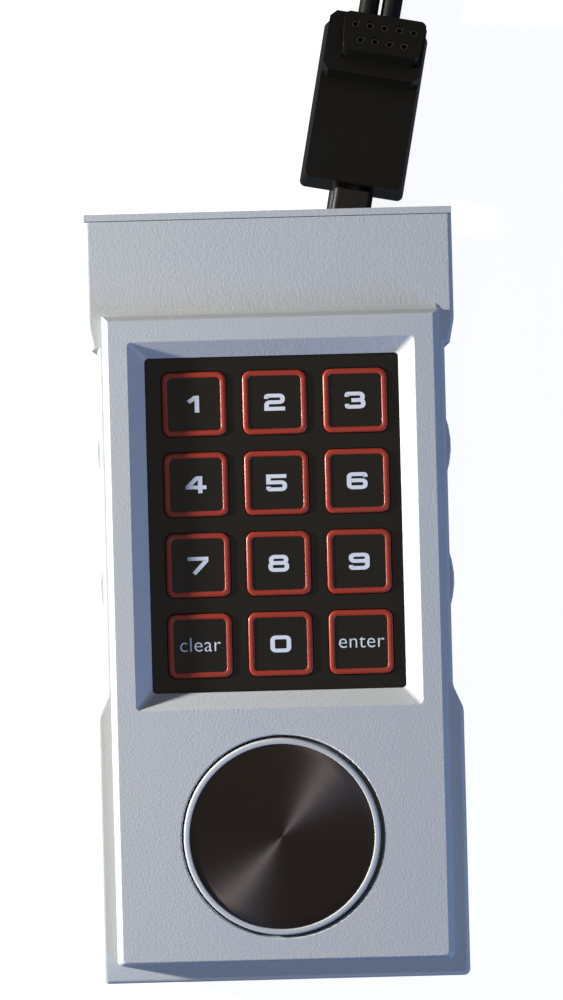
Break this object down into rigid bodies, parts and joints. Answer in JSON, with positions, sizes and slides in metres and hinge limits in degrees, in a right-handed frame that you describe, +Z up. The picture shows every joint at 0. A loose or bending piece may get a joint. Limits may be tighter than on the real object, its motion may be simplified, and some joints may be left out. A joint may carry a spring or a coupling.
{
  "type": "hand controller",
  "caption": "Flat hand-held game controller with a keypad in a bevelled window, a tilting direction disc, side buttons and a lead with a right-angle plug.",
  "frame": {"origin": "under the middle of the case, on the plane its back rests on", "axes": "+X to the player's right, +Y along the case towards the lead, +Z up out of the face"},
  "size_m": [0.0706, 0.2626, 0.0286],
  "materials": {
    "case_plastic": "light grey ABS with a fine spark-eroded grain",
    "button_plastic": "light grey moulded plastic",
    "keypad_black": "dark brown-black embossed vinyl",
    "key_black": "dark brown-black key with a raised red outline and a printed legend",
    "membrane_film": "clear polyester film with printed tracks",
    "spacer_film": "white spacer film",
    "plate_steel": "zinc-plated sheet",
    "screw_steel": "zinc-plated screws",
    "spring_steel": "spring steel",
    "disc_plastic": "light grey satin plastic",
    "disc_metal": "dark anodised metal, spun in circles",
    "pivot_plastic": "natural acetal",
    "pressure_rubber": "black silicone rubber",
    "connector_plastic": "cream nylon",
    "wire_insulation": "coloured thin wires",
    "cord_sheath": "black soft PVC sheath",
    "cord_tie": "black woven tie",
    "fitting_black": "black PVC sleeve and bridge",
    "plug_black": "black satin PVC overmould",
    "contact_brass": "tinned brass"
  },
  "bodies": {
    "case": {"front_cover": "case_plastic", "rear_cover": "case_plastic", "case_screws": "screw_steel", "keypad_sheet": "keypad_black", "membrane_top_film": "membrane_film", "membrane_spacer": "spacer_film", "membrane_bottom_film": "membrane_film", "disc_switch_film": "membrane_film", "backing_plate": "plate_steel", "backing_plate_screws": "screw_steel", "pivot_post": "pivot_plastic", "disc_spring": "spring_steel", "pressure_ring": "pressure_rubber", "side_contact_left": "membrane_film", "side_contact_right": "membrane_film", "button_spring_left_upper": "spring_steel", "button_spring_left_lower": "spring_steel", "button_spring_right_upper": "spring_steel", "button_spring_right_lower": "spring_steel", "flex_tail": "membrane_film", "tail_connector": "connector_plastic", "lead_wires": "wire_insulation", "cord_inner": "cord_sheath", "cord_clamp": "fitting_black", "cord_clamp_screws": "screw_steel", "cord_grommet": "fitting_black", "cord_exit_run": "cord_sheath", "cord_return_run": "cord_sheath", "cord_coil": "cord_sheath", "coil_tie": "cord_tie", "plug_body": "plug_black", "plug_nose": "plug_black", "plug_contacts": "contact_brass", "plug_neck": "fitting_black"},
    "disc_pivot": {"pivot_ball": "pivot_plastic"},
    "disc": {"disc_rim": "disc_plastic", "disc_inlay": "disc_metal"},
    "key_1": {"key_1": "key_black"},
    "key_2": {"key_2": "key_black"},
    "key_3": {"key_3": "key_black"},
    "key_4": {"key_4": "key_black"},
    "key_5": {"key_5": "key_black"},
    "key_6": {"key_6": "key_black"},
    "key_7": {"key_7": "key_black"},
    "key_8": {"key_8": "key_black"},
    "key_9": {"key_9": "key_black"},
    "key_clear": {"key_clear": "key_black"},
    "key_0": {"key_0": "key_black"},
    "key_enter": {"key_enter": "key_black"},
    "side_button_left_upper": {"side_button_left_upper": "button_plastic"},
    "side_button_left_lower": {"side_button_left_lower": "button_plastic"},
    "side_button_right_upper": {"side_button_right_upper": "button_plastic"},
    "side_button_right_lower": {"side_button_right_lower": "button_plastic"}
  },
  "joints": [
    {"name": "key_1_press", "type": "slide", "parent": "case", "child": "key_1", "axis": [0, 0, -1], "range_m": [0, 0.0004], "stiffness_N_per_m": 900},
    {"name": "key_2_press", "type": "slide", "parent": "case", "child": "key_2", "axis": [0, 0, -1], "range_m": [0, 0.0004], "stiffness_N_per_m": 900},
    {"name": "key_3_press", "type": "slide", "parent": "case", "child": "key_3", "axis": [0, 0, -1], "range_m": [0, 0.0004], "stiffness_N_per_m": 900},
    {"name": "key_4_press", "type": "slide", "parent": "case", "child": "key_4", "axis": [0, 0, -1], "range_m": [0, 0.0004], "stiffness_N_per_m": 900},
    {"name": "key_5_press", "type": "slide", "parent": "case", "child": "key_5", "axis": [0, 0, -1], "range_m": [0, 0.0004], "stiffness_N_per_m": 900},
    {"name": "key_6_press", "type": "slide", "parent": "case", "child": "key_6", "axis": [0, 0, -1], "range_m": [0, 0.0004], "stiffness_N_per_m": 900},
    {"name": "key_7_press", "type": "slide", "parent": "case", "child": "key_7", "axis": [0, 0, -1], "range_m": [0, 0.0004], "stiffness_N_per_m": 900},
    {"name": "key_8_press", "type": "slide", "parent": "case", "child": "key_8", "axis": [0, 0, -1], "range_m": [0, 0.0004], "stiffness_N_per_m": 900},
    {"name": "key_9_press", "type": "slide", "parent": "case", "child": "key_9", "axis": [0, 0, -1], "range_m": [0, 0.0004], "stiffness_N_per_m": 900},
    {"name": "key_clear_press", "type": "slide", "parent": "case", "child": "key_clear", "axis": [0, 0, -1], "range_m": [0, 0.0004], "stiffness_N_per_m": 900},
    {"name": "key_0_press", "type": "slide", "parent": "case", "child": "key_0", "axis": [0, 0, -1], "range_m": [0, 0.0004], "stiffness_N_per_m": 900},
    {"name": "key_enter_press", "type": "slide", "parent": "case", "child": "key_enter", "axis": [0, 0, -1], "range_m": [0, 0.0004], "stiffness_N_per_m": 900},
    {"name": "side_button_left_upper_press", "type": "slide", "parent": "case", "child": "side_button_left_upper", "axis": [1, 0, 0], "range_m": [0, 0.0007], "stiffness_N_per_m": 900, "deforming": ["button_spring_left_upper"]},
    {"name": "side_button_left_lower_press", "type": "slide", "parent": "case", "child": "side_button_left_lower", "axis": [1, 0, 0], "range_m": [0, 0.0007], "stiffness_N_per_m": 900, "deforming": ["button_spring_left_lower"]},
    {"name": "side_button_right_upper_press", "type": "slide", "parent": "case", "child": "side_button_right_upper", "axis": [-1, 0, 0], "range_m": [0, 0.0007], "stiffness_N_per_m": 900, "deforming": ["button_spring_right_upper"]},
    {"name": "side_button_right_lower_press", "type": "slide", "parent": "case", "child": "side_button_right_lower", "axis": [-1, 0, 0], "range_m": [0, 0.0007], "stiffness_N_per_m": 900, "deforming": ["button_spring_right_lower"]},
    {"name": "disc_tilt_across", "type": "hinge", "parent": "case", "child": "disc_pivot", "pos_m": [-0.0002, -0.0458, 0.0206], "axis": [0, 1, 0], "range_deg": [-2.5, 2.5], "stiffness_Nm_per_rad": 0.6},
    {"name": "disc_tilt_along", "type": "hinge", "parent": "disc_pivot", "child": "disc", "pos_m": [-0.0002, -0.0458, 0.0206], "axis": [1, 0, 0], "range_deg": [-2.5, 2.5], "stiffness_Nm_per_rad": 0.6, "deforming": ["disc_spring"]}
  ]
}
